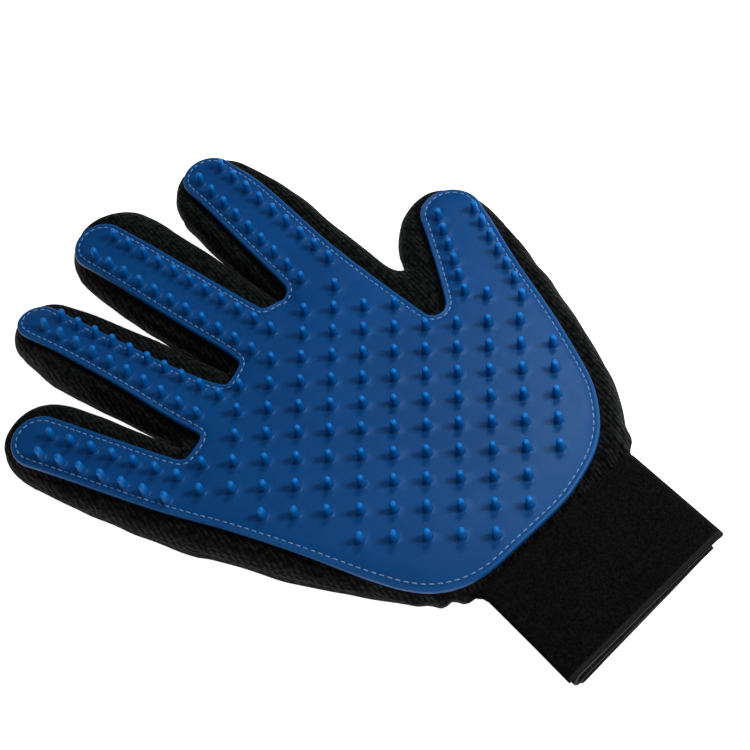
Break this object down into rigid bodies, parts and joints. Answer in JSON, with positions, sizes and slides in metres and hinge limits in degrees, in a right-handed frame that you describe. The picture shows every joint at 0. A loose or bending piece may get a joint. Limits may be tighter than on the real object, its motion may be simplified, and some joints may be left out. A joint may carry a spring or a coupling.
{
  "type": "pet grooming glove",
  "caption": "Right-hand five-finger pet grooming glove: a nubbed silicone face on a hollow fabric glove whose fingers bend, with a cuff closed by a wrist strap.",
  "frame": {"origin": "on the resting plane, under the middle of the cuff's mouth", "axes": "+X towards the thumb's side, +Y from the wrist to the fingertips, +Z out of the palm, up"},
  "size_m": [0.1746, 0.237, 0.025],
  "materials": {
    "silicone_pad": "satin moulded silicone, royal blue",
    "knit_fabric": "coarse black knit",
    "air_mesh": "black air mesh",
    "cuff_cloth": "black padded cloth",
    "loop_cloth": "matte black loop pile",
    "hook_tape": "black hook tape"
  },
  "bodies": {
    "palm": {"palm_pad": "silicone_pad", "palm_front_fabric": "knit_fabric", "palm_back_fabric": "air_mesh"},
    "cuff": {"cuff_band": "cuff_cloth", "cuff_lining": "air_mesh", "cuff_loop_patch": "loop_cloth", "strap_sewn_end": "loop_cloth"},
    "strap": {"wrist_strap": "loop_cloth", "strap_hook_patch": "hook_tape"},
    "index_base": {"index_base_pad": "silicone_pad", "index_base_front_fabric": "knit_fabric", "index_base_back_fabric": "air_mesh"},
    "index_middle": {"index_middle_pad": "silicone_pad", "index_middle_front_fabric": "knit_fabric", "index_middle_back_fabric": "air_mesh"},
    "index_tip": {"index_tip_pad": "silicone_pad", "index_tip_front_fabric": "knit_fabric", "index_tip_back_fabric": "air_mesh"},
    "middle_base": {"middle_base_pad": "silicone_pad", "middle_base_front_fabric": "knit_fabric", "middle_base_back_fabric": "air_mesh"},
    "middle_middle": {"middle_middle_pad": "silicone_pad", "middle_middle_front_fabric": "knit_fabric", "middle_middle_back_fabric": "air_mesh"},
    "middle_tip": {"middle_tip_pad": "silicone_pad", "middle_tip_front_fabric": "knit_fabric", "middle_tip_back_fabric": "air_mesh"},
    "ring_base": {"ring_base_pad": "silicone_pad", "ring_base_front_fabric": "knit_fabric", "ring_base_back_fabric": "air_mesh"},
    "ring_middle": {"ring_middle_pad": "silicone_pad", "ring_middle_front_fabric": "knit_fabric", "ring_middle_back_fabric": "air_mesh"},
    "ring_tip": {"ring_tip_pad": "silicone_pad", "ring_tip_front_fabric": "knit_fabric", "ring_tip_back_fabric": "air_mesh"},
    "little_base": {"little_base_pad": "silicone_pad", "little_base_front_fabric": "knit_fabric", "little_base_back_fabric": "air_mesh"},
    "little_middle": {"little_middle_pad": "silicone_pad", "little_middle_front_fabric": "knit_fabric", "little_middle_back_fabric": "air_mesh"},
    "little_tip": {"little_tip_pad": "silicone_pad", "little_tip_front_fabric": "knit_fabric", "little_tip_back_fabric": "air_mesh"},
    "thumb_base": {"thumb_base_pad": "silicone_pad", "thumb_base_front_fabric": "knit_fabric", "thumb_base_back_fabric": "air_mesh"},
    "thumb_tip": {"thumb_tip_pad": "silicone_pad", "thumb_tip_front_fabric": "knit_fabric", "thumb_tip_back_fabric": "air_mesh"}
  },
  "joints": [
    {"name": "wrist_bend", "type": "hinge", "parent": "palm", "child": "cuff", "pos_m": [0, 0.038, 0.019], "axis": [-1, 0, 0], "range_deg": [-8, 35]},
    {"name": "strap_open", "type": "hinge", "parent": "cuff", "child": "strap", "pos_m": [0.03205, 0.018, 0.01565], "axis": [0, 1, 0], "range_deg": [0, 160]},
    {"name": "index_base_bend", "type": "hinge", "parent": "palm", "child": "index_base", "pos_m": [0.0065, 0.16478, 0.0225], "axis": [1, 0, 0], "range_deg": [-5, 50]},
    {"name": "index_middle_bend", "type": "hinge", "parent": "index_base", "child": "index_middle", "pos_m": [0.0065, 0.18806, 0.0225], "axis": [1, 0, 0], "range_deg": [0, 65]},
    {"name": "index_tip_bend", "type": "hinge", "parent": "index_middle", "child": "index_tip", "pos_m": [0.0065, 0.21134, 0.0225], "axis": [1, 0, 0], "range_deg": [0, 40]},
    {"name": "middle_base_bend", "type": "hinge", "parent": "palm", "child": "middle_base", "pos_m": [-0.02713, 0.16134, 0.0225], "axis": [0.9781, 0.2079, 0], "range_deg": [-5, 50]},
    {"name": "middle_middle_bend", "type": "hinge", "parent": "middle_base", "child": "middle_middle", "pos_m": [-0.03333, 0.19053, 0.0225], "axis": [0.9781, 0.2079, 0], "range_deg": [0, 65]},
    {"name": "middle_tip_bend", "type": "hinge", "parent": "middle_middle", "child": "middle_tip", "pos_m": [-0.03798, 0.21242, 0.0225], "axis": [0.9781, 0.2079, 0], "range_deg": [0, 40]},
    {"name": "ring_base_bend", "type": "hinge", "parent": "palm", "child": "ring_base", "pos_m": [-0.05531, 0.15255, 0.0225], "axis": [0.9603, 0.279, 0], "range_deg": [-5, 50]},
    {"name": "ring_middle_bend", "type": "hinge", "parent": "ring_base", "child": "ring_middle", "pos_m": [-0.06173, 0.17464, 0.0225], "axis": [0.9603, 0.279, 0], "range_deg": [0, 65]},
    {"name": "ring_tip_bend", "type": "hinge", "parent": "ring_middle", "child": "ring_tip", "pos_m": [-0.06815, 0.19674, 0.0225], "axis": [0.9603, 0.279, 0], "range_deg": [0, 40]},
    {"name": "little_base_bend", "type": "hinge", "parent": "palm", "child": "little_base", "pos_m": [-0.08176, 0.13574, 0.0225], "axis": [0.8965, 0.4431, 0], "range_deg": [-5, 50]},
    {"name": "little_middle_bend", "type": "hinge", "parent": "little_base", "child": "little_middle", "pos_m": [-0.08877, 0.14992, 0.0225], "axis": [0.8965, 0.4431, 0], "range_deg": [0, 65]},
    {"name": "little_tip_bend", "type": "hinge", "parent": "little_middle", "child": "little_tip", "pos_m": [-0.09578, 0.1641, 0.0225], "axis": [0.8965, 0.4431, 0], "range_deg": [0, 40]},
    {"name": "thumb_base_bend", "type": "hinge", "parent": "palm", "child": "thumb_base", "pos_m": [0.04276, 0.11614, 0.0225], "axis": [0.9285, -0.3714, 0], "range_deg": [-8, 40]},
    {"name": "thumb_tip_bend", "type": "hinge", "parent": "thumb_base", "child": "thumb_tip", "pos_m": [0.0503, 0.135, 0.0225], "axis": [0.9285, -0.3714, 0], "range_deg": [0, 50]}
  ],
  "couplings": [
    {"joint": "index_tip_bend", "follows": "index_middle_bend", "ratio": 0.6},
    {"joint": "middle_tip_bend", "follows": "middle_middle_bend", "ratio": 0.6},
    {"joint": "ring_tip_bend", "follows": "ring_middle_bend", "ratio": 0.6},
    {"joint": "little_tip_bend", "follows": "little_middle_bend", "ratio": 0.6}
  ]
}
